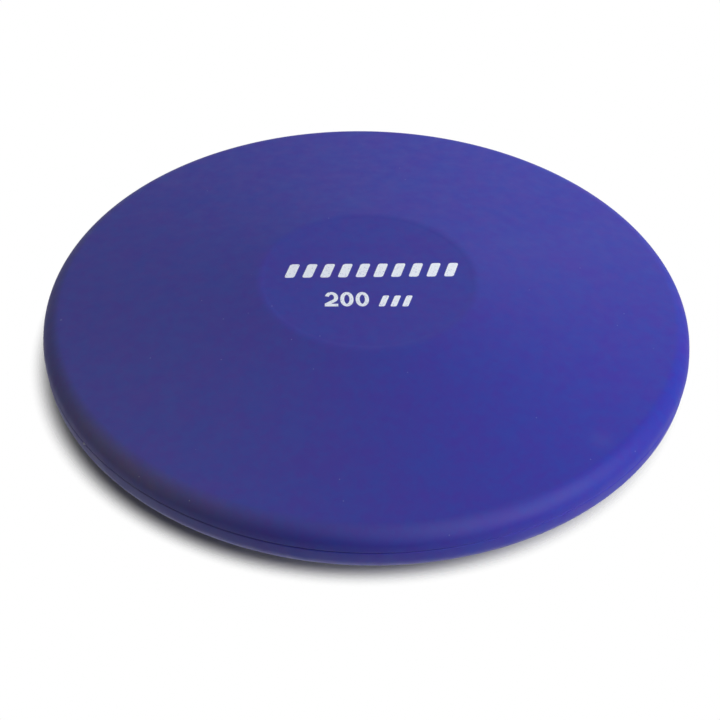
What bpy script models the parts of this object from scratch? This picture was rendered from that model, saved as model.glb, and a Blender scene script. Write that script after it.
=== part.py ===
"""Soft training discus: two soft PVC half shells over a foam core, with a weight ring in the rim.

Metres, +Z up. The origin is on the axis of symmetry, in the plane of the ring that the discus rests on.
Every piece is turned from an outline of (radius, height) points, with heights counted from the seam.
"""
import math
from dataclasses import dataclass

import bmesh
import bpy

# Outer form
RIM_RADIUS = 0.0900
THICKNESS = 0.0320              # from resting ring to resting ring
SEAM_LIFT = 0.0006              # height of the seam above the middle of the thickness
SEAM_GAP = 0.0003               # fine line between the two shells

# Middle of each face
RECESS_RADIUS = 0.0293
RECESS_DEPTH = 0.00015
RECESS_SLOPE_WIDTH = 0.0016
LAND_WIDTH = 0.0012             # flat resting ring round the recess

# Rim section
SIDE_WALL_HEIGHT = 0.0046       # both shells together
SIDE_WALL_DRAFT = math.radians(6)
RIM_CORNER_RADIUS = 0.0056

# Shells
WALL = 0.0020
RIM_BEAD_WIDTH = 0.0044         # solid band inside the rim, where the shells meet
TONGUE_WIDTH = 0.0012
TONGUE_HEIGHT = 0.0015
TONGUE_INSET = 0.0024           # rim to the middle of the tongue

# Weight ring and foam
RING_WIDTH = 0.0058
RING_CORNER = 0.0010
CORE_CORNER = 0.0012

# Filler hole and its plug
BORE_RADIUS = 0.0040
BOSS_WALL = 0.0045
BOSS_HEIGHT = 0.0060            # beyond the inside of the wall
PLUG_HEAD_RADIUS = 0.0070
PLUG_HEAD_THICKNESS = 0.0011
PLUG_HEAD_BEVEL = 0.0003
PLUG_DIMPLE_RADIUS = 0.0022
PLUG_DIMPLE_DEPTH = 0.0004
PLUG_STEM_RADIUS = 0.0033
PLUG_RIB_RADIUS = 0.00385
PLUG_RIB_ROOT = 0.0012          # a rib's height at the stem
PLUG_RIB_CREST = 0.0005         # and at its crest
PLUG_RIB_PITCH = 0.0022
PLUG_TIP_LENGTH = 0.0012        # tapered end past the boss
PLUG_TIP_RADIUS = 0.0022

# Room between pieces that seat on each other
CLEARANCE = 0.0003

# Facets
TURN_STEPS = 96
PLUG_STEPS = 40
CORNER_STEPS = 5
MERGE_DISTANCE = 0.000001
SHARP_ANGLE = math.radians(28)

SEAM_HEIGHT = THICKNESS / 2 + SEAM_LIFT
LAND_RADIUS = RECESS_RADIUS + LAND_WIDTH
BEAD_INNER_RADIUS = RIM_RADIUS - RIM_BEAD_WIDTH
RING_OUTER_RADIUS = BEAD_INNER_RADIUS - CLEARANCE
RING_INNER_RADIUS = RING_OUTER_RADIUS - RING_WIDTH
CORE_RADIUS = RING_INNER_RADIUS - CLEARANCE
TONGUE_RADIUS = RIM_RADIUS - TONGUE_INSET
BOSS_RADIUS = BORE_RADIUS + BOSS_WALL
COUNTERBORE_RADIUS = PLUG_HEAD_RADIUS + CLEARANCE
COUNTERBORE_DEPTH = PLUG_HEAD_THICKNESS + CLEARANCE


@dataclass(frozen=True)
class Half:
    """The upper or the lower half, with heights counted outwards from the seam."""

    direction: int
    land_height: float
    wall_height: float

    @property
    def floor_height(self):
        """Height of the recess's floor."""
        return self.land_height - RECESS_DEPTH

    @property
    def ceiling_height(self):
        """Height of the inside of the wall under the recess."""
        return self.floor_height - WALL

    @property
    def corner_centre(self):
        """Centre of the rounded corner, which runs on from the top of the drafted side wall."""
        wall_radius = RIM_RADIUS - self.wall_height * math.tan(SIDE_WALL_DRAFT)
        return (wall_radius - RIM_CORNER_RADIUS * math.cos(SIDE_WALL_DRAFT),
                self.wall_height - RIM_CORNER_RADIUS * math.sin(SIDE_WALL_DRAFT))

    @property
    def flank_angle(self):
        """Angle of the flank's normal above the horizontal: the flank is tangent to the corner."""
        centre_radius, centre_height = self.corner_centre
        run = LAND_RADIUS - centre_radius
        rise = self.land_height - centre_height
        return math.atan2(rise, run) - math.acos(RIM_CORNER_RADIUS / math.hypot(run, rise))

    def flank_height(self, radius, inset):
        """Height of the flank at a radius, once it is moved inwards by inset."""
        angle = self.flank_angle
        reach = math.cos(angle) * LAND_RADIUS + math.sin(angle) * self.land_height - inset
        return (reach - math.cos(angle) * radius) / math.sin(angle)

    def flank_radius(self, height, inset):
        """Radius of the flank at a height, once it is moved inwards by inset."""
        angle = self.flank_angle
        reach = math.cos(angle) * LAND_RADIUS + math.sin(angle) * self.land_height - inset
        return (reach - math.sin(angle) * height) / math.cos(angle)


UPPER = Half(1, THICKNESS / 2 - SEAM_LIFT, SIDE_WALL_HEIGHT / 2 - SEAM_LIFT)
LOWER = Half(-1, THICKNESS / 2 + SEAM_LIFT, SIDE_WALL_HEIGHT / 2 + SEAM_LIFT)
LIP_HEIGHT = SEAM_GAP / 2


def rounded_corner(half):
    """Points of the rim's rounded corner, from the flank down to the side wall."""
    centre_radius, centre_height = half.corner_centre
    points = []
    for step in range(CORNER_STEPS + 1):
        angle = half.flank_angle + (SIDE_WALL_DRAFT - half.flank_angle) * step / CORNER_STEPS
        points.append((centre_radius + RIM_CORNER_RADIUS * math.cos(angle),
                       centre_height + RIM_CORNER_RADIUS * math.sin(angle)))
    return points


def outer_face(half):
    """Outside of a shell, from the edge of the recess's floor to the lip at the seam."""
    return [
        (RECESS_RADIUS - RECESS_SLOPE_WIDTH, half.floor_height),
        (RECESS_RADIUS, half.land_height),
        (LAND_RADIUS, half.land_height),
        *rounded_corner(half),
        (RIM_RADIUS - LIP_HEIGHT * math.tan(SIDE_WALL_DRAFT), LIP_HEIGHT),
    ]


def inner_face(half):
    """Inside of a shell, from the lip at the seam to the edge of the flat middle."""
    return [
        (BEAD_INNER_RADIUS, LIP_HEIGHT),
        (BEAD_INNER_RADIUS, half.flank_height(BEAD_INNER_RADIUS, WALL)),
        (half.flank_radius(half.ceiling_height, WALL), half.ceiling_height),
    ]


def cut_corners(points, size):
    """The closed outline with each corner cut back along both of its sides by size."""
    cut = []
    for index, corner in enumerate(points):
        for neighbour in (points[index - 1], points[(index + 1) % len(points)]):
            share = size / math.dist(corner, neighbour)
            cut.append(tuple(at + (to - at) * share for at, to in zip(corner, neighbour)))
    return cut


def make_material(name, colour, roughness):
    """A plain Principled material."""
    material = bpy.data.materials.new(name)
    material.use_nodes = True
    shader = material.node_tree.nodes["Principled BSDF"]
    shader.inputs["Base Color"].default_value = (*colour, 1.0)
    shader.inputs["Roughness"].default_value = roughness
    shader.inputs["Metallic"].default_value = 0.0
    return material


def turn(name, outline, material, steps=TURN_STEPS, origin_height=0.0):
    """A solid of revolution about Z. The outline's heights are those of the finished part.

    An outline that starts on the axis also ends on it, and any other is a closed loop.
    """
    mesh_builder = bmesh.new()
    corners = [mesh_builder.verts.new((radius, 0.0, height - origin_height)) for radius, height in outline]
    sides = [mesh_builder.edges.new(pair) for pair in zip(corners, corners[1:])]
    if outline[0][0] > 0:
        sides.append(mesh_builder.edges.new((corners[-1], corners[0])))
    bmesh.ops.spin(mesh_builder, geom=corners + sides, cent=(0, 0, 0), axis=(0, 0, 1),
                   angle=2 * math.pi, steps=steps, use_merge=True)
    bmesh.ops.remove_doubles(mesh_builder, verts=mesh_builder.verts, dist=MERGE_DISTANCE)
    bmesh.ops.recalc_face_normals(mesh_builder, faces=mesh_builder.faces)

    mesh = bpy.data.meshes.new(name)
    mesh_builder.to_mesh(mesh)
    mesh_builder.free()
    mesh.shade_smooth()
    mesh.set_sharp_from_angle(angle=SHARP_ANGLE)
    mesh.materials.append(material)
    piece = bpy.data.objects.new(name, mesh)
    piece.location.z = origin_height
    bpy.context.scene.collection.objects.link(piece)
    return piece


def from_seam(half, outline):
    """The outline with its heights counted from the floor instead of from the seam."""
    return [(radius, SEAM_HEIGHT + half.direction * height) for radius, height in outline]


def make_upper_shell(material):
    """Upper skin, with a groove in its lip for the lower shell's tongue."""
    groove_outer = TONGUE_RADIUS + TONGUE_WIDTH / 2 + CLEARANCE
    groove_inner = TONGUE_RADIUS - TONGUE_WIDTH / 2 - CLEARANCE
    groove_height = TONGUE_HEIGHT - LIP_HEIGHT + CLEARANCE
    outline = [
        (0, UPPER.floor_height),
        *outer_face(UPPER),
        (groove_outer, LIP_HEIGHT),
        (groove_outer, groove_height),
        (groove_inner, groove_height),
        (groove_inner, LIP_HEIGHT),
        *inner_face(UPPER),
        (0, UPPER.ceiling_height),
    ]
    return turn("upper_shell", from_seam(UPPER, outline), material)


def make_lower_shell(material):
    """Lower skin, with a tongue on its lip and a stepped filler hole through a boss in its middle."""
    tongue_outer = TONGUE_RADIUS + TONGUE_WIDTH / 2
    tongue_inner = TONGUE_RADIUS - TONGUE_WIDTH / 2
    tongue_height = LIP_HEIGHT - TONGUE_HEIGHT
    counterbore_floor = LOWER.floor_height - COUNTERBORE_DEPTH
    boss_height = LOWER.ceiling_height - BOSS_HEIGHT
    outline = [
        (BORE_RADIUS, counterbore_floor),
        (COUNTERBORE_RADIUS, counterbore_floor),
        (COUNTERBORE_RADIUS, LOWER.floor_height),
        *outer_face(LOWER),
        (tongue_outer, LIP_HEIGHT),
        (tongue_outer, tongue_height),
        (tongue_inner, tongue_height),
        (tongue_inner, LIP_HEIGHT),
        *inner_face(LOWER),
        (BOSS_RADIUS, LOWER.ceiling_height),
        (BOSS_RADIUS, boss_height),
        (BORE_RADIUS, boss_height),
    ]
    return turn("lower_shell", from_seam(LOWER, outline), material)


def make_rim_weight_ring(material):
    """Soft ring behind the seam, shaped to both shells."""
    inset = WALL + CLEARANCE
    corners = [
        (RING_OUTER_RADIUS, SEAM_HEIGHT + UPPER.flank_height(RING_OUTER_RADIUS, inset)),
        (RING_OUTER_RADIUS, SEAM_HEIGHT - LOWER.flank_height(RING_OUTER_RADIUS, inset)),
        (RING_INNER_RADIUS, SEAM_HEIGHT - LOWER.flank_height(RING_INNER_RADIUS, inset)),
        (RING_INNER_RADIUS, SEAM_HEIGHT + UPPER.flank_height(RING_INNER_RADIUS, inset)),
    ]
    return turn("rim_weight_ring", cut_corners(corners, RING_CORNER), material)


def core_outer_face(half):
    """Outline of a foam pad from its face at the seam, round its edge, to the edge of its flat top."""
    inset = WALL + CLEARANCE
    edge_height = half.flank_height(CORE_RADIUS, inset)
    top_height = half.ceiling_height - CLEARANCE
    corner_height = half.flank_height(CORE_RADIUS - CORE_CORNER, inset)
    return [
        (CORE_RADIUS - CORE_CORNER, CLEARANCE / 2),
        (CORE_RADIUS, CLEARANCE / 2 + CORE_CORNER),
        (CORE_RADIUS, edge_height - CORE_CORNER),
        (CORE_RADIUS - CORE_CORNER, corner_height),
        (half.flank_radius(top_height, inset), top_height),
    ]


def make_upper_core_pad(material):
    """Foam that backs the upper face."""
    outline = [
        (0, CLEARANCE / 2),
        *core_outer_face(UPPER),
        (0, UPPER.ceiling_height - CLEARANCE),
    ]
    return turn("upper_core_pad", from_seam(UPPER, outline), material)


def make_lower_core_pad(material):
    """Foam that backs the lower face, with a pocket for the filler hole's boss and the plug's tip."""
    pocket_radius = BOSS_RADIUS + CLEARANCE
    pocket_floor = LOWER.ceiling_height - BOSS_HEIGHT - PLUG_TIP_LENGTH - CLEARANCE
    outline = [
        (0, CLEARANCE / 2),
        *core_outer_face(LOWER),
        (pocket_radius, LOWER.ceiling_height - CLEARANCE),
        (pocket_radius, pocket_floor),
        (0, pocket_floor),
    ]
    return turn("lower_core_pad", from_seam(LOWER, outline), material)


def plug_ribs(stem_top, stem_bottom):
    """Stem outline with its sealing ribs, evenly spaced between two heights, from the head inwards."""
    count = max(1, round((stem_top - stem_bottom) / PLUG_RIB_PITCH))
    spacing = (stem_top - stem_bottom) / count
    points = []
    for index in range(count):
        middle = stem_top - spacing * (index + 0.5)
        points += [
            (PLUG_STEM_RADIUS, middle + PLUG_RIB_ROOT / 2),
            (PLUG_RIB_RADIUS, middle + PLUG_RIB_CREST / 2),
            (PLUG_RIB_RADIUS, middle - PLUG_RIB_CREST / 2),
            (PLUG_STEM_RADIUS, middle - PLUG_RIB_ROOT / 2),
        ]
    return points


def make_filler_plug(material):
    """Soft stopper, flush with the underside's recess, whose ribs grip the bore of the boss."""
    face = LOWER.floor_height
    head_back = face - PLUG_HEAD_THICKNESS
    boss_end = LOWER.ceiling_height - BOSS_HEIGHT
    bore_top = LOWER.floor_height - COUNTERBORE_DEPTH
    outline = [
        (0, face - PLUG_DIMPLE_DEPTH),
        (PLUG_DIMPLE_RADIUS / 2, face - PLUG_DIMPLE_DEPTH),
        (PLUG_DIMPLE_RADIUS, face),
        (PLUG_HEAD_RADIUS - PLUG_HEAD_BEVEL, face),
        (PLUG_HEAD_RADIUS, face - PLUG_HEAD_BEVEL),
        (PLUG_HEAD_RADIUS, head_back),
        (PLUG_STEM_RADIUS, head_back),
        *plug_ribs(bore_top, boss_end),
        (PLUG_STEM_RADIUS, boss_end),
        (PLUG_TIP_RADIUS, boss_end - PLUG_TIP_LENGTH),
        (0, boss_end - PLUG_TIP_LENGTH),
    ]
    return turn("filler_plug", from_seam(LOWER, outline), material,
                steps=PLUG_STEPS, origin_height=SEAM_HEIGHT - face)


def main():
    """Clear the scene and make every piece."""
    for leftover in list(bpy.data.objects):
        bpy.data.objects.remove(leftover, do_unlink=True)

    shell_pvc = make_material("soft moulded PVC", (0.046, 0.042, 0.319), 0.42)
    ring_pvc = make_material("weighted soft PVC", (0.035, 0.035, 0.040), 0.60)
    core_foam = make_material("closed-cell foam", (0.72, 0.72, 0.70), 0.90)
    plug_pvc = make_material("soft plug PVC", (0.038, 0.035, 0.270), 0.45)

    make_upper_shell(shell_pvc)
    make_lower_shell(shell_pvc)
    make_rim_weight_ring(ring_pvc)
    make_upper_core_pad(core_foam)
    make_lower_core_pad(core_foam)
    make_filler_plug(plug_pvc)


main()
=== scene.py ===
"""Soft training discus for indoor throwing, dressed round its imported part.

Metres, +Z up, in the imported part's own frame: Z is the axis of symmetry and the floor is z = 0.
A point of an outline is (radius, height). A length that the part's source has too is the same there,
unless a comment says more.
"""
import logging
import math
from dataclasses import dataclass
from enum import Enum
from typing import Any, Callable, ClassVar, Iterable, Sequence

import bmesh
import bpy
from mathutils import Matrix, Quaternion, Vector


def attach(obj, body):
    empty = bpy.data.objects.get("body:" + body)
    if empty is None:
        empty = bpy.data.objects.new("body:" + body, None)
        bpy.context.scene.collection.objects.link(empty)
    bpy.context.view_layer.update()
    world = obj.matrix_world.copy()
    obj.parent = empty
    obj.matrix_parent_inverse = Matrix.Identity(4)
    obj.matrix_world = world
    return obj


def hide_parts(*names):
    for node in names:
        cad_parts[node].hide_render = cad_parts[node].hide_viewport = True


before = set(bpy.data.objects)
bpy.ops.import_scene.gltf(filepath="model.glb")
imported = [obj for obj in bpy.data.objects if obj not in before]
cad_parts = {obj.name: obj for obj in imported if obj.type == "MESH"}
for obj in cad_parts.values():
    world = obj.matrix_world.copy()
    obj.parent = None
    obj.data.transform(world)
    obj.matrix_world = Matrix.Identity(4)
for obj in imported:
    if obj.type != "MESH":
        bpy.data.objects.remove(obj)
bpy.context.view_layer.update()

log = logging.getLogger("discus")

Point = tuple[float, float]
Span = tuple[float, float]
Place = tuple[float, float, float]
Piece = bpy.types.Object
Node = bpy.types.Node
Socket = bpy.types.NodeSocket
Tree = bpy.types.NodeTree

MM = 0.001
FINE_STEPS = 240  # edges round a skin
PLAIN_STEPS = 120  # edges round what is inside
LOOP_TOLERANCE = 0.006 * MM
MERGE_DISTANCE = 0.001 * MM
PRINT_MERGE_DISTANCE = 0.002 * MM


class Body(Enum):
    """The bodies that a piece may ride on."""

    DISCUS = "discus"
    PLUG = "plug"


class Slot(Enum):
    """The record's material slots."""

    SHELL = "shell_pvc"
    RING = "ring_pvc"
    CORE = "core_foam"
    PLUG = "plug_pvc"


class Glare(Enum):
    """What a lamp leaves on the pieces."""

    CUT = "cut"
    ONLY = "only"


class Side(Enum):
    """Which half a piece belongs to. The value is the way that its heights count from the seam."""

    UPPER = 1
    LOWER = -1


def linear_colour(code: str) -> tuple[float, float, float, float]:
    """Turn an sRGB hex value into a linear colour.

    Args:
        code: six hex digits after a #.

    Returns:
        Linear red, green, blue and an alpha of 1.
    """
    channels = [int(code[place:place + 2], 16) / 255 for place in (1, 3, 5)]
    linear = [c / 12.92 if c <= 0.04045 else ((c + 0.055) / 1.055) ** 2.4 for c in channels]
    return (linear[0], linear[1], linear[2], 1.0)


def add_node(tree: Tree, kind: str, inputs: dict[str | int, Any] | None = None, **settings: Any) -> Node:
    """Add one node with its settings and links.

    Args:
        tree: the node tree.
        kind: the node's type name, after ShaderNode.
        inputs: for each named or numbered input a value, an output of another node, another node, whose
            first output in use is meant, or None, which leaves it alone.
        settings: the node's own properties.

    Returns:
        The new node.
    """
    node = tree.nodes.new("ShaderNode" + kind)
    for name, value in settings.items():
        setattr(node, name, value)
    for name, value in (inputs or {}).items():
        if isinstance(value, Node):
            value = next(output for output in value.outputs if output.enabled)
        if isinstance(value, Socket):
            tree.links.new(value, node.inputs[name])
        elif value is not None:
            node.inputs[name].default_value = value
    return node


def deselect_everything() -> None:
    """Leave edit mode and let go of every object."""
    if bpy.context.object is not None and bpy.context.object.mode != "OBJECT":
        bpy.ops.object.mode_set(mode="OBJECT")
    bpy.ops.object.select_all(action="DESELECT")


def apply_place(piece: Piece) -> None:
    """Move a piece's place, turn and size into its mesh.

    Args:
        piece: the piece, which becomes the only one selected.
    """
    deselect_everything()
    piece.select_set(True)
    bpy.context.view_layer.objects.active = piece
    bpy.ops.object.transform_apply(location=True, rotation=True, scale=True)


def add_piece(name: str, add_primitive: Callable, **sizes: Any) -> Piece:
    """Add a primitive and open it for editing, selected all over.

    Args:
        name: the piece's name.
        add_primitive: the operator that adds it.
        sizes: its size and place.

    Returns:
        The piece.
    """
    deselect_everything()
    add_primitive(**sizes)
    piece = bpy.context.object
    piece.name = name
    piece.data.name = name
    apply_place(piece)
    bpy.ops.object.mode_set(mode="EDIT")
    return piece


@dataclass(frozen=True)
class Rounding:
    """How a corner of an outline is rounded."""

    cut: float  # how far it reaches along each side
    faces: int


class TurnedPiece:
    """A solid of revolution about Z, shaped in edit mode from one ring of edges to the next."""

    def __init__(self, name: str, start: Point, steps: int) -> None:
        """Add the first ring and open it for editing.

        Args:
            name: the piece's name.
            start: the first point of the outline.
            steps: how many edges go round.
        """
        self.piece = add_piece(name, bpy.ops.mesh.primitive_circle_add, vertices=steps, radius=start[0],
                               location=(0, 0, start[1]))
        self.end = start
        bpy.ops.mesh.select_mode(type="EDGE")
        bpy.ops.mesh.select_all(action="SELECT")

    def extend(self, outline: Iterable[Point]) -> None:
        """Extrude the last ring from point to point.

        Args:
            outline: the points that follow.
        """
        for radius, height in outline:
            bpy.ops.mesh.extrude_edges_move(
                TRANSFORM_OT_translate={"value": (0, 0, height - self.end[1])})
            share = radius / self.end[0]
            bpy.ops.transform.resize(value=(share, share, 1), center_override=(0, 0, 0))
            self.end = (radius, height)

    def select_ring(self, corner: Point) -> None:
        """Select the ring of edges that passes through a point of the outline.

        Args:
            corner: the point.
        """
        radius, height = corner
        bpy.ops.mesh.select_all(action="DESELECT")
        builder = bmesh.from_edit_mesh(self.piece.data)
        near = {v for v in builder.verts
                if abs(v.co.z - height) < LOOP_TOLERANCE
                and abs(math.hypot(v.co.x, v.co.y) - radius) < LOOP_TOLERANCE}
        for edge in builder.edges:
            edge.select = edge.verts[0] in near and edge.verts[1] in near
        bmesh.update_edit_mesh(self.piece.data)

    def cap(self, corner: Point, rings: int) -> None:
        """Close an open ring with a flat face, made of rings round a middle point.

        Args:
            corner: a point of the open ring.
            rings: how many rings divide the face.
        """
        self.select_ring(corner)
        bpy.ops.mesh.edge_face_add()
        bpy.ops.mesh.select_mode(type="FACE")
        for _ in range(rings):
            bpy.ops.mesh.inset(thickness=corner[0] / (rings + 1))
        bpy.ops.mesh.poke()
        bpy.ops.mesh.select_mode(type="EDGE")

    def join_ends(self) -> None:
        """Bridge the last ring to the first, which closes the outline."""
        bpy.ops.mesh.select_all(action="DESELECT")
        builder = bmesh.from_edit_mesh(self.piece.data)
        for edge in builder.edges:
            if edge.is_boundary:
                edge.select = True
        bmesh.update_edit_mesh(self.piece.data)
        bpy.ops.mesh.bridge_edge_loops()

    def round_ring(self, corner: Point, rounding: Rounding) -> None:
        """Round a corner of the outline.

        Args:
            corner: the corner.
            rounding: how it is rounded.
        """
        self.select_ring(corner)
        bpy.ops.mesh.bevel(offset=rounding.cut, offset_type="OFFSET", segments=rounding.faces,
                           profile=0.5, affect="EDGES")

    def finish(self, smooth_angle: float = 35.0) -> Piece:
        """Merge doubles, turn the faces outwards and shade them smooth.

        Args:
            smooth_angle: the angle in degrees past which an edge stays sharp.

        Returns:
            The finished object.
        """
        bpy.ops.mesh.select_all(action="SELECT")
        bpy.ops.mesh.remove_doubles(threshold=MERGE_DISTANCE)
        bpy.ops.mesh.normals_make_consistent(inside=False)
        bpy.ops.object.mode_set(mode="OBJECT")
        bpy.ops.object.shade_smooth_by_angle(angle=math.radians(smooth_angle))
        return self.piece


class Texture(Enum):
    """What a pattern is drawn with: a kind of node, and its settings."""

    NOISE = ("TexNoise", {})
    CELLS = ("TexVoronoi", {})
    CELL_EDGES = ("TexVoronoi", {"feature": "DISTANCE_TO_EDGE"})


@dataclass(frozen=True)
class Pattern:
    """A pattern in or on a material, by its real size."""

    texture: Texture
    size: float  # of a cloud, a cell or a grain
    detail: float = 0.0  # how many finer layers lie over it
    raggedness: float = 0.5  # and how strong they are
    span: Span | None = None  # of its values, which is stretched to the shares
    shares: Span = (0.0, 1.0)

    def draw(self, tree: Tree, place: Socket) -> Node:
        """Add the pattern to a material.

        Args:
            tree: the material's node tree.
            place: the place on the piece.

        Returns:
            The node that gives the pattern.
        """
        kind, settings = self.texture.value
        texture = add_node(tree, kind, {
            "Vector": place, "Scale": 1 / self.size, "Detail": self.detail, "Roughness": self.raggedness},
            **settings)
        if self.span is None:
            return texture
        return add_node(tree, "MapRange", {
            "Value": texture, "From Min": self.span[0], "From Max": self.span[1],
            "To Min": self.shares[0], "To Max": self.shares[1]})


Tones = tuple[tuple[Pattern, str], ...]  # patterns, and the colour that each one turns to
Relief = tuple[tuple[Pattern, float], ...]  # patterns, and how deep each one is


@dataclass(frozen=True)
class SmudgeAndHighlight:
    """A spot paler and duller than what is round it: mostly rubbed marks, and at the weld's burr a pale
    flash lightened as a painted highlight.
    """

    place: Place
    size: float
    strength: float
    colour: str = "#9AA3C8"
    grain: Pattern = Pattern(Texture.NOISE, 4 * MM, 3.0)

    def draw(self, tree: Tree, place: Socket) -> Node:
        """Add the spot to a material.

        Args:
            tree: the material's node tree.
            place: the place on the piece.

        Returns:
            The node that gives the spot's strength.
        """
        gap = add_node(tree, "VectorMath", {0: place, 1: self.place}, operation="DISTANCE")
        spot = add_node(tree, "MapRange", {
            "Value": gap, "From Min": 0.0, "From Max": self.size, "To Min": 2 * self.strength,
            "To Max": 0.0}, interpolation_type="SMOOTHSTEP")
        return add_node(tree, "Math", {0: spot, 1: self.grain.draw(tree, place)}, operation="MULTIPLY")


class Finish:
    """What one real material looks like. Every pattern reads the place on the piece."""

    name: str
    colour: str
    tones: Tones = ()
    relief: Relief = ()
    roughness: float | Pattern
    ior: float = 1.5
    smudges_and_highlights: tuple[SmudgeAndHighlight, ...] = ()

    def shader(self, tree: Tree, place: Socket) -> Node:
        """Build the finish's shader.

        Args:
            tree: the material's node tree.
            place: the place on the piece.

        Returns:
            The shader's node.
        """
        colour, roughness, normal = linear_colour(self.colour), self.roughness, None
        for pattern, tone in self.tones:
            colour = add_node(tree, "Mix", {
                "Factor": pattern.draw(tree, place), "A": colour, "B": linear_colour(tone)},
                data_type="RGBA")
        if isinstance(roughness, Pattern):
            roughness = roughness.draw(tree, place)
        # Pale spots: rubbed marks, and one at the weld's burr that is partly a painted highlight.
        for pale_spot in self.smudges_and_highlights:
            spot_share = pale_spot.draw(tree, place)
            colour = add_node(tree, "Mix", {
                "Factor": spot_share, "A": colour, "B": linear_colour(pale_spot.colour)}, data_type="RGBA")
            roughness = add_node(tree, "Math", {0: roughness, 1: spot_share}, operation="ADD")
        for pattern, depth in self.relief:
            normal = add_node(tree, "Bump", {
                "Height": pattern.draw(tree, place), "Distance": depth, "Strength": 1.0,
                "Normal": normal})
        return add_node(tree, "BsdfPrincipled", {
            "Base Color": colour, "Roughness": roughness, "IOR": self.ior, "Normal": normal})

    def make(self) -> bpy.types.Material:
        """Make the material.

        Returns:
            The material.
        """
        material = bpy.data.materials.new(self.name)
        material.use_nodes = True
        tree = material.node_tree
        tree.nodes.clear()
        place = add_node(tree, "TexCoord").outputs["Object"]
        add_node(tree, "OutputMaterial", {"Surface": self.shader(tree, place)})
        return material


@dataclass(frozen=True)
class SatinPvc(Finish):
    """Soft plastisol PVC, moulded in a bead-blasted steel tool.

    The blasting leaves a fine peel that spreads the highlight into a satin bloom. The pigment is dense and
    not quite evenly stirred, so the body is deep and clouded between two close tones. What is pale on it is
    the reflection of the room, some dust and rubbed spots, and on the weld's burr a painted highlight.
    """

    name: str
    colour: str
    cloud_colour: str
    dust_colour: str = "#9AA3C8"
    smudges_and_highlights: tuple[SmudgeAndHighlight, ...] = ()
    clouds: Pattern = Pattern(Texture.NOISE, 12 * MM, 4.0, 1.0, span=(0.38, 0.62))
    dust_spacing: float = 6.5 * MM
    dust_size: float = 0.20 * MM
    relief: Relief = (
        (Pattern(Texture.NOISE, 9 * MM, 1.0), 0.02 * MM),  # slow unevenness of a soft skin
        # Real peel is about 0.1 mm. It is drawn coarser, so that it shows.
        (Pattern(Texture.NOISE, 0.45 * MM, 2.0), 0.010 * MM),
    )
    roughness: Pattern = Pattern(Texture.NOISE, 4 * MM, 3.0, span=(0.3, 0.7), shares=(0.50, 0.60))
    ior: float = 1.53

    @property
    def tones(self) -> Tones:
        """Clouds in the pigment, and grains of dust on it.

        Returns:
            Both patterns with their colours, the clouds first.
        """
        reach = self.dust_size / self.dust_spacing
        dust = Pattern(Texture.CELLS, self.dust_spacing, span=(0.35 * reach, reach), shares=(0.55, 0.0))
        return ((self.clouds, self.cloud_colour), (dust, self.dust_colour))


@dataclass(frozen=True)
class WeightedPvc(Finish):
    """Soft PVC loaded with heavy mineral powder, extruded as a strip and welded into a ring.

    The powder makes it nearly black and matt, with pale grains at the surface.
    """

    grain_size: ClassVar[float] = 0.9 * MM
    name: str = "weighted extruded PVC"
    colour: str = "#2B2B30"
    tones: Tones = ((Pattern(Texture.CELLS, grain_size, span=(0.10, 0.28), shares=(0.8, 0.0)), "#77777A"),)
    relief: Relief = ((Pattern(Texture.CELLS, grain_size), 0.05 * MM),)
    roughness: float = 0.62
    ior: float = 1.53


@dataclass(frozen=True)
class CellFoam(Finish):
    """Closed-cell polyethylene foam, moulded from beads.

    Each bead keeps its own faint outline, and the cells inside it scatter the light until it is chalky.
    """

    beads: ClassVar[Pattern] = Pattern(Texture.CELL_EDGES, 3.2 * MM, span=(0.0, 0.10))
    cells: ClassVar[Pattern] = Pattern(Texture.CELLS, 0.5 * MM)
    name: str = "closed-cell bead foam"
    colour: str = "#BDBCB6"  # of the joints between the beads
    tones: Tones = ((beads, "#DEDDD8"),)
    relief: Relief = ((beads, 0.15 * MM), (cells, 0.06 * MM))
    roughness: float = 0.9


@dataclass(frozen=True)
class PadPrintInk(Finish):
    """White vinyl ink, laid on by a silicone pad.

    The film is a few hundredths of a millimetre thick. It is slightly starved where the pad lifted, so the
    blue under it shows through as a fine speckle and a cool cast.
    """

    speckle_size: ClassVar[float] = 0.35 * MM
    name: str = "pad-printed white vinyl ink"
    colour: str = "#EEF4FF"
    tones: Tones = ((Pattern(Texture.NOISE, speckle_size, 3.0, span=(0.58, 0.72)), "#8F9BD2"),)
    relief: Relief = ((Pattern(Texture.NOISE, speckle_size, 3.0), 0.01 * MM),)
    roughness: float = 0.48


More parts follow.
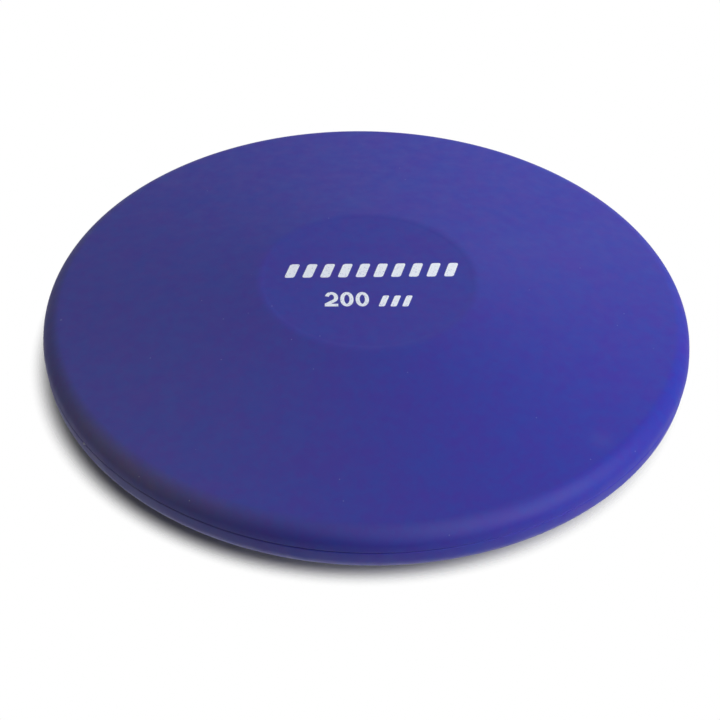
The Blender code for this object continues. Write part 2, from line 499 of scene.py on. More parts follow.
@dataclass(frozen=True)
class WhiteLaminate(Finish):
    """White laminated board, matt. Past the object's shadow it fades to the plain white behind it."""

    name: str = "white laminate"
    grey: float = 0.65  # linear
    shadow_middle: Point = (-2.45 * MM, 8.5 * MM)
    fade_start: float = 86.8 * MM  # from the shadow's middle
    fade_end: float = 94.4 * MM

    def shader(self, tree: Tree, place: Socket) -> Node:
        """Build the finish's shader.

        Args:
            tree: the material's node tree.
            place: the place on the table.

        Returns:
            The shader's node.
        """
        path = add_node(tree, "LightPath").outputs
        reach = add_node(tree, "VectorMath", {0: place, 1: (*self.shadow_middle, 0.0)},
                         operation="DISTANCE")
        fade = add_node(tree, "MapRange", {
            "Value": reach, "From Min": self.fade_start, "From Max": self.fade_end},
            interpolation_type="SMOOTHSTEP")
        looked = add_node(tree, "Math", {0: path["Is Camera Ray"], 1: path["Is Glossy Ray"]},
                          operation="MAXIMUM")
        seen = add_node(tree, "Math", {0: fade, 1: looked}, operation="MULTIPLY")
        # The board is clear from below too, and for a ray that has passed through it.
        back = add_node(tree, "NewGeometry").outputs["Backfacing"]
        passed = add_node(tree, "Math", {0: path["Transparent Depth"], 1: 0.5},
                          operation="GREATER_THAN")
        under = add_node(tree, "Math", {0: back, 1: passed}, operation="MAXIMUM")
        share = add_node(tree, "Math", {0: seen, 1: under}, operation="MAXIMUM")
        lit = add_node(tree, "BsdfDiffuse", {"Color": (self.grey, self.grey, self.grey, 1.0)})
        clear = add_node(tree, "BsdfTransparent")
        return add_node(tree, "MixShader", {0: share, 1: lit, 2: clear})


@dataclass(frozen=True)
class RimSection:
    """The rim that both skins share, with heights counted outwards from the seam."""

    radius: float = 90.0 * MM
    seam_height: float = 16.6 * MM  # above the floor
    draft: float = math.radians(6)
    corner_radius: float = 5.6 * MM
    corner_faces: int = 18
    wall: float = 2.0 * MM
    bead_width: float = 4.4 * MM  # solid band inside the rim, where the skins meet
    tongue_width: float = 1.2 * MM
    tongue_height: float = 1.5 * MM
    tongue_inset: float = 2.4 * MM  # from the rim to the middle of the tongue
    clearance: float = 0.3 * MM

    @property
    def bead_radius(self) -> float:
        """Inside of the solid band."""
        return self.radius - self.bead_width

    @property
    def ring_radius(self) -> float:
        """Outside of the weight ring, which seats in the solid band."""
        return self.bead_radius - self.clearance


@dataclass(frozen=True)
class Recess:
    """The shallow round recess in the middle of each face."""

    radius: float = 29.3 * MM
    depth: float = 0.055 * MM  # 0.15 mm in the part's source, whose slope is 1.6 mm wide
    slope_width: float = 0.8 * MM
    land_width: float = 1.2 * MM  # flat resting ring round it
    floor_edge: Rounding = Rounding(0.30 * MM, 3)
    top_edge: Rounding = Rounding(0.30 * MM, 4)
    land_edge: Rounding = Rounding(0.75 * MM, 4)

    @property
    def floor_radius(self) -> float:
        """Outside of the recess's floor."""
        return self.radius - self.slope_width

    @property
    def land_radius(self) -> float:
        """Outside of the resting ring."""
        return self.radius + self.land_width


@dataclass(frozen=True)
class FillerHole:
    """The stepped hole in the middle of the underside, through a boss."""

    bore_radius: float = 4.0 * MM
    boss_wall: float = 4.5 * MM
    boss_height: float = 6.0 * MM  # beyond the inside of the wall
    counterbore_radius: float = 7.3 * MM
    counterbore_depth: float = 1.4 * MM
    edge: Rounding = Rounding(0.25 * MM, 3)
    tip_length: float = 1.2 * MM  # of the plug, past the boss

    @property
    def boss_radius(self) -> float:
        """Outside of the boss."""
        return self.bore_radius + self.boss_wall


class Assembly:
    """A sub-assembly, and how its pieces are dressed."""

    body: ClassVar[Body] = Body.DISCUS
    slot: ClassVar[Slot | None] = None
    node: str | None  # the solid that its piece stands for
    finish: Finish

    def build(self) -> list[Piece]:
        """Shape the pieces."""
        raise NotImplementedError

    def dress(self, pieces: Sequence[Piece]) -> None:
        """Give the pieces their finish, hide the solid that they stand for, and join them to their body.

        Args:
            pieces: the finished pieces.
        """
        material = self.finish.make()
        for piece in pieces:
            piece.data.materials.append(material)
            if self.node is not None:
                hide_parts(self.node)
            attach(piece, self.body.value)
            log.info("%s: %d faces, on %s", piece.name, len(piece.data.polygons), self.body.value)


@dataclass(frozen=True)
class Skin(Assembly):
    """One moulded half skin, with heights counted outwards from the seam."""

    slot: ClassVar[Slot] = Slot.SHELL
    side: Side
    name: str
    node: str
    land_height: float
    wall_height: float  # of the drafted side wall
    finish: SatinPvc
    hole: FillerHole | None = None
    set_back: float = 0.0  # how far the lip stands inside the other one
    lip_height: float = 0.15 * MM
    lip_edge: Rounding = Rounding(0.34 * MM, 5)
    rim: RimSection = RimSection()
    recess: Recess = Recess()
    flank_rings: int = 14
    flank_end: float = 6 * MM  # from the last of those rings to the sharp corner

    @property
    def floor_height(self) -> float:
        """Height of the recess's floor."""
        return self.land_height - self.recess.depth

    @property
    def ceiling_height(self) -> float:
        """Height of the inside of the wall under the recess."""
        return self.floor_height - self.rim.wall

    @property
    def boss_end(self) -> float:
        """Height of the boss's end, in the skin that has the hole."""
        return self.ceiling_height - self.hole.boss_height

    @property
    def flank_angle(self) -> float:
        """Work out how the flank leans, so that it is tangent to the rounded corner.

        Returns:
            The angle of the flank's normal above the horizontal.
        """
        rim = self.rim
        wall_radius = rim.radius - self.wall_height * math.tan(rim.draft)
        centre_radius = wall_radius - rim.corner_radius * math.cos(rim.draft)
        centre_height = self.wall_height - rim.corner_radius * math.sin(rim.draft)
        run = self.recess.land_radius - centre_radius
        rise = self.land_height - centre_height
        return math.atan2(rise, run) - math.acos(rim.corner_radius / math.hypot(run, rise))

    @property
    def flank_reach(self) -> float:
        """Distance of the flank from the seam's middle, along the flank's normal."""
        angle = self.flank_angle
        return math.cos(angle) * self.recess.land_radius + math.sin(angle) * self.land_height

    def flank_height(self, radius: float, inset: float = 0.0) -> float:
        """Height of the flank at a radius, with the flank moved inwards by the inset."""
        angle = self.flank_angle
        return (self.flank_reach - inset - math.cos(angle) * radius) / math.sin(angle)

    def flank_radius(self, height: float, inset: float = 0.0) -> float:
        """Radius of the flank at a height, with the flank moved inwards by the inset."""
        angle = self.flank_angle
        return (self.flank_reach - inset - math.sin(angle) * height) / math.cos(angle)

    @property
    def sharp_corner(self) -> Point:
        """Find the rim's corner as it is before it is rounded.

        Returns:
            Where the flank would meet the drafted side wall.
        """
        angle = self.flank_angle
        slope = math.tan(self.rim.draft)
        rise = self.flank_reach - math.cos(angle) * self.rim.radius
        height = rise / (math.sin(angle) - math.cos(angle) * slope)
        return (self.rim.radius - height * slope - self.set_back, height)

    @property
    def lip(self) -> Point:
        """Outer edge of the lip."""
        return (self.rim.radius - self.lip_height * math.tan(self.rim.draft) - self.set_back,
                self.lip_height)

    def placed(self, point: Point) -> Point:
        """Turn a point's height outwards from the seam into one above the floor."""
        return (point[0], self.rim.seam_height + self.side.value * point[1])

    def outer_points(self) -> list[Point]:
        """Outline the outside of the skin.

        Returns:
            The points from the edge of the recess's floor to the lip.
        """
        recess = self.recess
        first, last = recess.land_radius, self.sharp_corner[0] - self.flank_end
        radii = [first + (last - first) * (ring + 1) / self.flank_rings for ring in range(self.flank_rings)]
        return [
            (recess.floor_radius, self.floor_height),
            (recess.radius, self.land_height),
            (recess.land_radius, self.land_height),
            *[(radius, self.flank_height(radius)) for radius in radii],
            self.sharp_corner,
            self.lip,
        ]

    def joint_points(self) -> list[Point]:
        """Outline the lip's joint face, with a groove in the upper skin and a tongue on the lower one.

        Returns:
            The points from outside to inside.
        """
        rim = self.rim
        middle = rim.radius - rim.tongue_inset
        half = rim.tongue_width / 2
        end = rim.clearance / 2 - rim.tongue_height
        if self.side is Side.UPPER:
            half += rim.clearance
            end = rim.clearance / 2 + rim.tongue_height
        return [
            (middle + half, self.lip_height),
            (middle + half, end),
            (middle - half, end),
            (middle - half, self.lip_height),
        ]

    def inner_points(self) -> list[Point]:
        """Outline the inside of the skin.

        Returns:
            The points from the lip to the edge of the flat middle.
        """
        rim = self.rim
        return [
            (rim.bead_radius, self.lip_height),
            (rim.bead_radius, self.flank_height(rim.bead_radius, rim.wall)),
            (self.flank_radius(self.ceiling_height, rim.wall), self.ceiling_height),
        ]

    def build(self) -> list[Piece]:
        """Shape the skin.

        Returns:
            The finished skin.
        """
        hole = self.hole
        outline = [*self.outer_points(), *self.joint_points(), *self.inner_points()]
        if hole is not None:
            step = self.floor_height - hole.counterbore_depth
            outline = [(hole.bore_radius, step), (hole.counterbore_radius, step),
                       (hole.counterbore_radius, self.floor_height), *outline,
                       (hole.boss_radius, self.ceiling_height), (hole.boss_radius, self.boss_end),
                       (hole.bore_radius, self.boss_end)]
        turned = TurnedPiece(self.name, self.placed(outline[0]), FINE_STEPS)
        turned.extend(self.placed(point) for point in outline[1:])
        if hole is None:
            turned.cap(self.placed(outline[0]), rings=4)
            turned.cap(self.placed(outline[-1]), rings=2)
        else:
            turned.join_ends()
            turned.round_ring(self.placed((hole.counterbore_radius, self.floor_height)), hole.edge)
        self.round_corners(turned)
        return [turned.finish()]

    def round_corners(self, turned: TurnedPiece) -> None:
        """Round the recess's edges, the edge of the resting ring, the rim and the lip.

        Args:
            turned: the piece in edit mode.
        """
        rim, recess = self.rim, self.recess
        rim_cut = rim.corner_radius * math.tan((self.flank_angle - rim.draft) / 2)
        for corner, rounding in (
                ((recess.floor_radius, self.floor_height), recess.floor_edge),
                ((recess.radius, self.land_height), recess.top_edge),
                ((recess.land_radius, self.land_height), recess.land_edge),
                (self.sharp_corner, Rounding(rim_cut, rim.corner_faces)),
                (self.lip, self.lip_edge)):
            turned.round_ring(self.placed(corner), rounding)


@dataclass(frozen=True)
class SeamWeld(Assembly):
    """Thread of PVC that the weld squeezes into the seam, with a small burr where the mould was gated."""

    slot: ClassVar[Slot] = Slot.SHELL
    node: ClassVar[None] = None
    finish: SatinPvc
    name: str = "seam_weld"
    rim: RimSection = RimSection()
    depth: float = 0.24 * MM  # below the rim, as a mean
    lean: float = 0.29 * MM  # how much deeper it lies on one side than the mean
    lean_angle: float = math.radians(208)
    thickness: float = 0.40 * MM
    height: float = 0.38 * MM
    wander: float = 0.035 * MM  # how unevenly it squeezes out
    waves: tuple[Point, ...] = ((7, 0.6), (17, 2.1), (41, 4.0), (97, 0.0))  # count round it, and start
    burr_angle: float = math.radians(216)
    burr_length: float = 1.3 * MM
    burr_rise: float = 0.69 * MM
    burr_swell: float = 0.8  # how much taller the thread is at the burr, as a share
    steps: int = 3 * FINE_STEPS
    smooth_angle: float = 60.0

    def build(self) -> list[Piece]:
        """Shape the thread.

        Returns:
            The finished thread.
        """
        outside = self.rim.radius - self.depth
        inside = outside - self.thickness
        middle = self.rim.seam_height
        half, quarter, eighth = self.height / 2, self.height / 4, self.height / 8
        turned = TurnedPiece(self.name, (inside, middle - half), self.steps)
        turned.extend([
            (outside - half, middle - half),
            (outside - eighth, middle - quarter),
            (outside, middle),
            (outside - eighth, middle + quarter),
            (outside - half, middle + half),
            (inside, middle + half),
        ])
        turned.join_ends()
        piece = turned.finish(self.smooth_angle)
        self.squeeze(piece)
        return [piece]

    def squeeze(self, piece: Piece) -> None:
        """Make the thread uneven, and raise the burr.

        Args:
            piece: the even thread.
        """
        for vertex in piece.data.vertices:
            radius = math.hypot(vertex.co.x, vertex.co.y)
            angle = math.atan2(vertex.co.y, vertex.co.x)
            wave = sum(math.sin(count * angle + start) for count, start in self.waves) / len(self.waves)
            gap = math.remainder(angle - self.burr_angle, math.tau) * self.rim.radius
            burr = math.exp(-(gap / (self.burr_length / 2)) ** 2)
            sunk = self.lean * math.cos(angle - self.lean_angle)
            share = (radius - sunk + self.wander * wave + self.burr_rise * burr) / radius
            vertex.co.x *= share
            vertex.co.y *= share
            vertex.co.z += self.burr_swell * burr * (vertex.co.z - self.rim.seam_height)


@dataclass(frozen=True)
class WeightRing(Assembly):
    """Heavy soft ring inside the rim, shaped to both skins."""

    slot: ClassVar[Slot] = Slot.RING
    upper: Skin
    lower: Skin
    finish: WeightedPvc
    name: str = "weight_ring"
    node: str = "rim_weight_ring"
    width: float = 5.8 * MM
    edge: Rounding = Rounding(1.0 * MM, 4)

    def build(self) -> list[Piece]:
        """Shape the ring.

        Returns:
            The finished ring.
        """
        rim = self.upper.rim
        inset = rim.wall + rim.clearance
        inner = rim.ring_radius - self.width
        corners = [skin.placed((radius, skin.flank_height(radius, inset)))
                   for skin, radius in ((self.lower, inner), (self.lower, rim.ring_radius),
                                        (self.upper, rim.ring_radius), (self.upper, inner))]
        turned = TurnedPiece(self.name, corners[0], PLAIN_STEPS)
        turned.extend(corners[1:])
        turned.join_ends()
        for corner in corners:
            turned.round_ring(corner, self.edge)
        return [turned.finish()]


@dataclass(frozen=True)
class FoamPad(Assembly):
    """Foam that backs one face and lies against the other pad at the seam."""

    slot: ClassVar[Slot] = Slot.CORE
    skin: Skin
    ring: WeightRing
    finish: CellFoam
    name: str
    node: str
    side_edge: Rounding = Rounding(1.2 * MM, 5)
    top_edge: Rounding = Rounding(2.4 * MM, 3)

    def build(self) -> list[Piece]:
        """Shape the pad.

        Returns:
            The finished pad.
        """
        skin, rim, hole = self.skin, self.skin.rim, self.skin.hole
        inset = rim.wall + rim.clearance
        edge = rim.ring_radius - self.ring.width - rim.clearance
        top = skin.ceiling_height - rim.clearance
        face_corner = (edge, rim.clearance / 2)
        flank_corner = (edge, skin.flank_height(edge, inset))
        top_corner = (skin.flank_radius(top, inset), top)
        start = (edge / 2, rim.clearance / 2)
        outline = [face_corner, flank_corner, top_corner]
        if hole is not None:
            pocket = hole.boss_radius + rim.clearance
            floor = skin.boss_end - hole.tip_length - rim.clearance
            outline += [(pocket, top), (pocket, floor)]
        turned = TurnedPiece(self.name, skin.placed(start), PLAIN_STEPS)
        turned.extend(skin.placed(point) for point in outline)
        turned.cap(skin.placed(start), rings=3)
        turned.cap(skin.placed(outline[-1]), rings=3)
        for corner, rounding in ((face_corner, self.side_edge), (flank_corner, self.side_edge),
                                 (top_corner, self.top_edge)):
            turned.round_ring(skin.placed(corner), rounding)
        return [turned.finish()]

    def dress(self, pieces: Sequence[Piece]) -> None:
        """Args:
            pieces: the finished pad.
        """
        for piece in pieces:
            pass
        super().dress(pieces)


@dataclass(frozen=True)
class FillerPlug(Assembly):
    """Soft ribbed stopper in the underside's recess."""

    body: ClassVar[Body] = Body.PLUG
    slot: ClassVar[Slot] = Slot.PLUG
    skin: Skin
    finish: SatinPvc
    name: str = "stopper"
    node: str = "filler_plug"
    head_radius: float = 7.0 * MM
    head_thickness: float = 1.1 * MM
    face_edge: Rounding = Rounding(0.3 * MM, 4)
    back_edge: Rounding = Rounding(0.15 * MM, 2)
    dimple_radius: float = 2.2 * MM
    dimple_depth: float = 0.4 * MM
    dimple_edge: Rounding = Rounding(0.3 * MM, 3)
    stem_radius: float = 3.3 * MM
    rib_radius: float = 3.85 * MM
    rib_root: float = 1.2 * MM  # a rib's height at the stem
    rib_crest: float = 0.5 * MM  # and at its crest
    rib_pitch: float = 2.2 * MM
    rib_edge: Rounding = Rounding(0.12 * MM, 2)
    tip_radius: float = 2.2 * MM
    steps: int = 96

    def ribs(self, first: float, last: float) -> list[list[Point]]:
        """Outline of each rib.

        Args:
            first: height of the stem's end at the head.
            last: height of the stem's other end.

        Returns:
            Four points for each rib, from the head inwards.
        """
        count = max(1, round((first - last) / self.rib_pitch))
        spacing = (first - last) / count
        ribs = []
        for index in range(count):
            middle = first - spacing * (index + 0.5)
            ribs.append([(self.stem_radius, middle + self.rib_root / 2),
                         (self.rib_radius, middle + self.rib_crest / 2),
                         (self.rib_radius, middle - self.rib_crest / 2),
                         (self.stem_radius, middle - self.rib_root / 2)])
        return ribs

    def build(self) -> list[Piece]:
        """Shape the stopper.

        Returns:
            The finished stopper.
        """
        skin, hole = self.skin, self.skin.hole
        face = skin.floor_height
        ribs = self.ribs(face - hole.counterbore_depth, skin.boss_end)
        start = (self.dimple_radius / 2, face - self.dimple_depth)
        dimple = (self.dimple_radius, face)
        edge = (self.head_radius, face)
        back = (self.head_radius, face - self.head_thickness)
        outline = [dimple, edge, back, (self.stem_radius, back[1]),
                   *[point for rib in ribs for point in rib],
                   (self.stem_radius, skin.boss_end), (self.tip_radius, skin.boss_end - hole.tip_length)]
        turned = TurnedPiece(self.name, skin.placed(start), self.steps)
        turned.extend(skin.placed(point) for point in outline)
        turned.cap(skin.placed(start), rings=1)
        turned.cap(skin.placed(outline[-1]), rings=1)
        crests = [(crest, self.rib_edge) for rib in ribs for crest in rib[1:3]]
        for corner, rounding in [(edge, self.face_edge), (back, self.back_edge),
                                 (dimple, self.dimple_edge), *crests]:
            turned.round_ring(skin.placed(corner), rounding)
        return [turned.finish()]


@dataclass(frozen=True)
class SlantedBars:
    """A row of plain slanted bars with rounded corners."""

    name: str
    place: Point  # middle of the row
    turn: float
    count: int
    width: float
    height: float
    pitch: float
    slant: float = math.radians(17)
    corner_share: float = 0.25  # a corner's rounding, as a share of the bar's width
    corner_faces: int = 5

    def build(self) -> Piece:
        """Shape one flat bar and repeat it in a row.

        Returns:
            The flat row, lying in its place at height 0.
        """
        lean = self.height * math.tan(self.slant)
        piece = add_piece(self.name, bpy.ops.mesh.primitive_plane_add, size=1.0)
        bpy.ops.transform.resize(value=(self.width, self.height, 1), center_override=(0, 0, 0))
        bpy.ops.mesh.select_mode(type="VERT")
        bpy.ops.mesh.select_all(action="DESELECT")
        builder = bmesh.from_edit_mesh(piece.data)
        for vertex in builder.verts:
            vertex.select = vertex.co.y > 0
        bmesh.update_edit_mesh(piece.data)
        bpy.ops.transform.translate(value=(lean, 0, 0))
        bpy.ops.mesh.select_all(action="SELECT")
        bpy.ops.mesh.bevel(offset=self.corner_share * self.width, segments=self.corner_faces,
                           affect="VERTICES")
        bpy.ops.object.mode_set(mode="OBJECT")
        row = piece.modifiers.new("row", "ARRAY")
        row.count = self.count
        row.use_relative_offset = False
        row.use_constant_offset = True
        row.constant_offset_displace = (self.pitch, 0, 0)
        bpy.ops.object.modifier_apply(modifier=row.name)
        half = (self.pitch * (self.count - 1) + lean) / 2
        piece.rotation_euler.z = self.turn
        piece.location = (self.place[0] - half * math.cos(self.turn),
                          self.place[1] - half * math.sin(self.turn), 0)
        return piece


@dataclass(frozen=True)
class Numerals:
    """A plain number, drawn in strokes of one width as on a dial."""

    name: str
    text: str
    place: Point  # middle of the number
    turn: float
    width: float = 3.65 * MM  # of a numeral
    height: float = 6.25 * MM
    pitch: float = 4.20 * MM
    stroke: float = 1.10 * MM
    crown_share: float = 0.30  # half height of a 2's crown, as a share of the numeral's
    crown_start: float = 165  # in degrees
    crown_end: float = -35
    neck_start: float = 1.5  # where a 2's neck meets its foot, in half strokes
    level_slope: float = 0.1  # a stroke steeper than this ends level, and any other square
    bend_points: int = 14

    def bend(self, middle: Point, reach: Point, first: float, last: float) -> list[Point]:
        """Follow an oval between two angles.

        Args:
            middle: the oval's middle.
            reach: half its width and half its height.
            first: the angle of the first point, in degrees.
            last: the angle of the last one.

        Returns:
            The points along it.
        """
        turns = [math.radians(first + (last - first) * step / self.bend_points)
                 for step in range(self.bend_points + 1)]
        return [(middle[0] + reach[0] * math.cos(turn), middle[1] + reach[1] * math.sin(turn))
                for turn in turns]

    def strokes(self, numeral: str) -> list[list[Point]]:
        """Centre lines of a numeral's strokes, from its lower left corner.

        Args:
            numeral: 0 or 2.

        Returns:
            The points of each stroke.
        """
        half = self.stroke / 2
        middle = self.width / 2
        reach = middle - half
        if numeral == "0":
            oval = ((middle, self.height / 2), (reach, self.height / 2 - half))
            return [self.bend(*oval, 90, -90) + self.bend(*oval, -90, -270)[1:]]
        crown = self.height * self.crown_share
        curl = self.bend((middle, self.height - half - crown), (reach, crown),
                         self.crown_start, self.crown_end)
        return [[*curl, (half * self.neck_start, self.stroke)], [(0.0, half), (self.width, half)]]

    def draw(self, piece: Piece, line: Sequence[Point], start: float) -> None:
        """Draw one stroke as a flat strip, by extruding its end from point to point.

        Args:
            piece: the number, open for editing.
            line: the stroke's centre line.
            start: where the numeral begins.
        """
        edges = []
        closed = math.dist(line[0], line[-1]) < LOOP_TOLERANCE
        for index, point in enumerate(line):
            before = line[index - 1] if index else (line[-2] if closed else point)
            after = line[index + 1] if index + 1 < len(line) else (line[1] if closed else point)
            along = Vector((after[0] - before[0], after[1] - before[1])).normalized()
            across = Vector((-along.y, along.x)) * self.stroke / 2
            if not closed and index + 1 == len(line) and abs(along.y) > self.level_slope:
                across = Vector((self.stroke / 2 / abs(along.y), 0)) * (1 if across.x > 0 else -1)
            edges.append([Vector((start + point[0], point[1])) + way * across for way in (1, -1)])
        builder = bmesh.from_edit_mesh(piece.data)
        first = [builder.verts.new((*corner, 0)) for corner in edges[0]]
        builder.edges.new(first)
        for vertex in first:
            vertex.select = True
        builder.select_flush(True)
        bmesh.update_edit_mesh(piece.data)
        for corners in edges[1:]:
            bpy.ops.mesh.extrude_edges_move(TRANSFORM_OT_translate={"value": (0, 0, 0)})
            builder = bmesh.from_edit_mesh(piece.data)
            ends = sorted((v for v in builder.verts if v.select), key=lambda vertex: vertex.index)
            for vertex, corner in zip(ends, corners):
                vertex.co = (*corner, 0)
            bmesh.update_edit_mesh(piece.data)
        bpy.ops.mesh.select_all(action="DESELECT")

    def build(self) -> Piece:
        """Draw the number.

        Returns:
            The flat number, lying in its place at height 0.
        """
        piece = add_piece(self.name, bpy.ops.mesh.primitive_plane_add, size=1.0)
        bpy.ops.mesh.select_mode(type="EDGE")
        bpy.ops.mesh.select_all(action="SELECT")
        bpy.ops.mesh.delete(type="VERT")
        for index, numeral in enumerate(self.text):
            for line in self.strokes(numeral):
                self.draw(piece, line, index * self.pitch)
        bpy.ops.object.mode_set(mode="OBJECT")
        half = Vector(((self.pitch * (len(self.text) - 1) + self.width) / 2, self.height / 2, 0))
        piece.rotation_euler.z = self.turn
        half.rotate(piece.rotation_euler)
        piece.location = Vector((*self.place, 0)) - half
        return piece


@dataclass(frozen=True)
class PadPrint(Assembly):
    """White print in the upper recess: a plain number of grams, and plain slanted bars."""

    node: ClassVar[None] = None
    finish: PadPrintInk
    floor_height: float  # of the recess, above the table
    film: float = 0.03 * MM
    low_turn: float = math.radians(2.4)
    high_turn: float = math.radians(3.3)

    def build(self) -> list[Piece]:
        """Shape the number and both rows of bars.

        Returns:
            The three finished films.
        """
        rows = [
            Numerals("print_number", "200", (-5.6 * MM, -9.0 * MM), self.low_turn),
            SlantedBars("print_short_bars", (7.7 * MM, -9.2 * MM), self.low_turn,
                        count=3, width=1.7 * MM, height=4.7 * MM, pitch=3.2 * MM),
            SlantedBars("print_long_bars", (1.0 * MM, 4.1 * MM), self.high_turn,
                        count=10, width=2.7 * MM, height=6.0 * MM, pitch=4.9 * MM),
        ]
        return [self.lay_film(row.build()) for row in rows]

    def lay_film(self, piece: Piece) -> Piece:
        """Lay a flat shape on the recess's floor and give it the ink's thickness.

        Args:
            piece: the flat shape, lying in its place at height 0.

        Returns:
            The finished film.
        """
        piece.location.z = self.floor_height
        apply_place(piece)
        bpy.ops.object.mode_set(mode="EDIT")
        bpy.ops.mesh.select_all(action="SELECT")
        bpy.ops.mesh.remove_doubles(threshold=PRINT_MERGE_DISTANCE)
        bpy.ops.mesh.extrude_region_move(TRANSFORM_OT_translate={"value": (0, 0, self.film)})
        bpy.ops.mesh.select_all(action="SELECT")
        bpy.ops.mesh.normals_make_consistent(inside=False)
        bpy.ops.object.mode_set(mode="OBJECT")
        bpy.ops.object.shade_flat()
        return piece


@dataclass(frozen=True)
class SoftLamp:
    """One large round light, aimed at the middle of the table.

    A lamp behind a polarising sheet lights the pieces, and the lens's filter cuts its glare. A card is the
    opposite: it is too dim to light them, and shows in their gloss.
    """

    name: str
    angle: float  # in degrees from +X, seen from above
    rise: float  # in degrees above the table
    distance: float
    size: float
    level: float  # brightness of white paper that faces it
    glare: Glare = Glare.CUT
    colour: str = "#FFFFFF"

    def hang(self) -> None:
        """Hang the lamp."""
        angle, rise = math.radians(self.angle), math.radians(self.rise)
        flat = self.distance * math.cos(rise)
        place = Vector((flat * math.cos(angle), flat * math.sin(angle), self.distance * math.sin(rise)))
        bpy.ops.object.light_add(type="AREA", location=place)
        lamp = bpy.context.object
        lamp.name = self.name
        lamp.data.shape = "DISK"
        lamp.data.size = self.size
        lamp.data.energy = self.level * (math.pi * self.distance) ** 2
        lamp.data.color = linear_colour(self.colour)[:3]
        lamp.visible_camera = False
        lamp.visible_diffuse = self.glare is Glare.CUT
        lamp.visible_glossy = self.glare is Glare.ONLY
        lamp.rotation_mode = "QUATERNION"
        lamp.rotation_quaternion = (-place).to_track_quat("-Z", "Y")


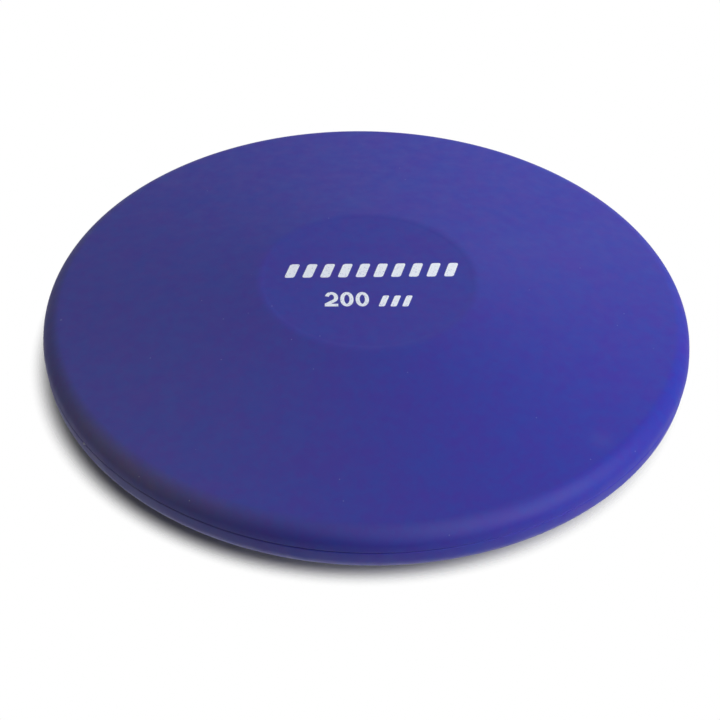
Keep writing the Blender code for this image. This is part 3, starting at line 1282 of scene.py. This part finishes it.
@dataclass(frozen=True)
class Studio:
    """White table and room, two soft lamps at the right, a golden card, two white cards and the camera."""

    camera_place: Place = (0.0, -432.29 * MM, 369.95 * MM)
    camera_aim: Place = (-1.60 * MM, -15.63 * MM, 16.0 * MM)
    camera_roll: float = math.radians(1.368)
    lens: float = 99.47  # in millimetres, as the sensor's width
    sensor_width: float = 36.0
    clip_start: float = 10 * MM
    lamps: tuple[SoftLamp, ...] = (
        SoftLamp("right_lamp", 330, 25, 350 * MM, 300 * MM, 0.81),
        SoftLamp("back_right_lamp", 60, 30, 350 * MM, 300 * MM, 0.65),
        SoftLamp("left_card", 205, 20, 400 * MM, 500 * MM, 0.47, Glare.ONLY, "#FFEC40"),
        SoftLamp("top_card", 180, 60, 400 * MM, 500 * MM, 0.37, Glare.ONLY),
        SoftLamp("front_card", 300, 35, 400 * MM, 500 * MM, 0.46, Glare.ONLY),
    )
    far_walls: Place = (0.34, 0.68, 0.31)  # brightness at the right, at the back and above
    near_walls: Place = (0.08, 0.05, 1.40)  # at the left, at the front and below
    table: WhiteLaminate = WhiteLaminate()
    table_radius: float = 4.0
    table_drop: float = 0.05 * MM  # below the object, so that no faces coincide
    table_steps: int = 64

    def build_table(self) -> None:
        """Lay the white table."""
        deselect_everything()
        bpy.ops.mesh.primitive_circle_add(vertices=self.table_steps, radius=self.table_radius,
                                          fill_type="NGON", location=(0, 0, -self.table_drop))
        table = bpy.context.object
        table.name = "table"
        table.data.materials.append(self.table.make())

    def light_room(self) -> None:
        """Light the room, each wall at its own level, with plain white behind everything the camera sees."""
        world = bpy.data.worlds.new("white room")
        world.use_nodes = True
        bpy.context.scene.world = world
        tree = world.node_tree
        tree.nodes.clear()
        white = linear_colour("#FFFFFF")
        way = add_node(tree, "TexCoord").outputs["Generated"]
        walls = []
        for operation, levels in (("MAXIMUM", self.far_walls), ("MINIMUM", self.near_walls)):
            part = add_node(tree, "VectorMath", {0: way, 1: (0.0, 0.0, 0.0)}, operation=operation)
            square = add_node(tree, "VectorMath", {0: part, 1: way}, operation="MULTIPLY")
            walls.append(add_node(tree, "VectorMath", {0: square, 1: levels},
                                  operation="DOT_PRODUCT"))
        level = add_node(tree, "Math", {0: walls[0], 1: walls[1]}, operation="ADD")
        lit = add_node(tree, "Background", {"Color": white, "Strength": level})
        plain = add_node(tree, "Background", {"Color": white, "Strength": 1.0})
        path = add_node(tree, "LightPath").outputs
        seen = add_node(tree, "MixShader", {0: path["Is Camera Ray"], 1: lit, 2: plain})
        add_node(tree, "OutputWorld", {"Surface": seen})

    def stand_camera(self) -> None:
        """Stand the camera where the picture was taken."""
        place, aim = Vector(self.camera_place), Vector(self.camera_aim)
        bpy.ops.object.camera_add(location=place)
        camera = bpy.context.object
        camera.data.sensor_width = self.sensor_width
        camera.data.lens = self.lens
        camera.data.clip_start = self.clip_start
        camera.rotation_mode = "QUATERNION"
        camera.rotation_quaternion = (aim - place).to_track_quat("-Z", "Y") @ Quaternion(
            (0, 0, 1), self.camera_roll)
        bpy.context.scene.camera = camera

    def build(self) -> None:
        """Lay the table, light the room, hang the lamps and stand the camera."""
        self.build_table()
        self.light_room()
        for lamp in self.lamps:
            lamp.hang()
        self.stand_camera()
        bpy.context.scene.view_settings.view_transform = "Standard"


def main() -> None:
    """Build and dress the discus, then its studio."""
    logging.basicConfig(level=logging.INFO, format="%(name)s: %(message)s")
    rubs = (
        SmudgeAndHighlight((-60 * MM, 56 * MM, 23.5 * MM), size=7 * MM, strength=0.03),  # back left
        SmudgeAndHighlight((61 * MM, -54 * MM, 23 * MM), size=5 * MM, strength=0.03),  # front right
        SmudgeAndHighlight((-83.9 * MM, -10.6 * MM, 23.34 * MM), size=0.5 * MM, strength=0.5),  # speck at the left
    )
    # The burr's pale flash, lightened further into a painted highlight where the burr catches the light.
    burr_flash_and_highlight = SmudgeAndHighlight((-72.8 * MM, -52.9 * MM, 16.6 * MM), size=1.4 * MM, strength=0.95,
                      colour="#E4E8F4")
    skin_pvc = SatinPvc("satin moulded PVC", "#251291", "#0E2395", smudges_and_highlights=rubs)
    weld_pvc = SatinPvc("squeezed-out PVC", "#2622A0", "#2424A6", dust_colour="#E4E8F4",
                        smudges_and_highlights=(burr_flash_and_highlight,))
    stopper_pvc = SatinPvc("satin stopper PVC", "#1B1788", "#1A1A8C")
    upper = Skin(Side.UPPER, "upper_skin", "upper_shell", land_height=15.4 * MM, wall_height=1.7 * MM,
                 finish=skin_pvc)
    lower = Skin(Side.LOWER, "lower_skin", "lower_shell", land_height=16.6 * MM, wall_height=2.9 * MM,
                 finish=skin_pvc, hole=FillerHole(), set_back=0.08 * MM)
    ring = WeightRing(upper, lower, WeightedPvc())
    foam = CellFoam()
    assemblies = [
        upper,
        lower,
        SeamWeld(weld_pvc),
        ring,
        FoamPad(upper, ring, foam, "upper_foam", "upper_core_pad"),
        FoamPad(lower, ring, foam, "lower_foam", "lower_core_pad"),
        FillerPlug(lower, stopper_pvc),
        PadPrint(PadPrintInk(), upper.placed((0.0, upper.floor_height))[1]),
    ]
    for assembly in assemblies:
        assembly.dress(assembly.build())
    Studio().build()


if __name__ == "__main__":
    main()
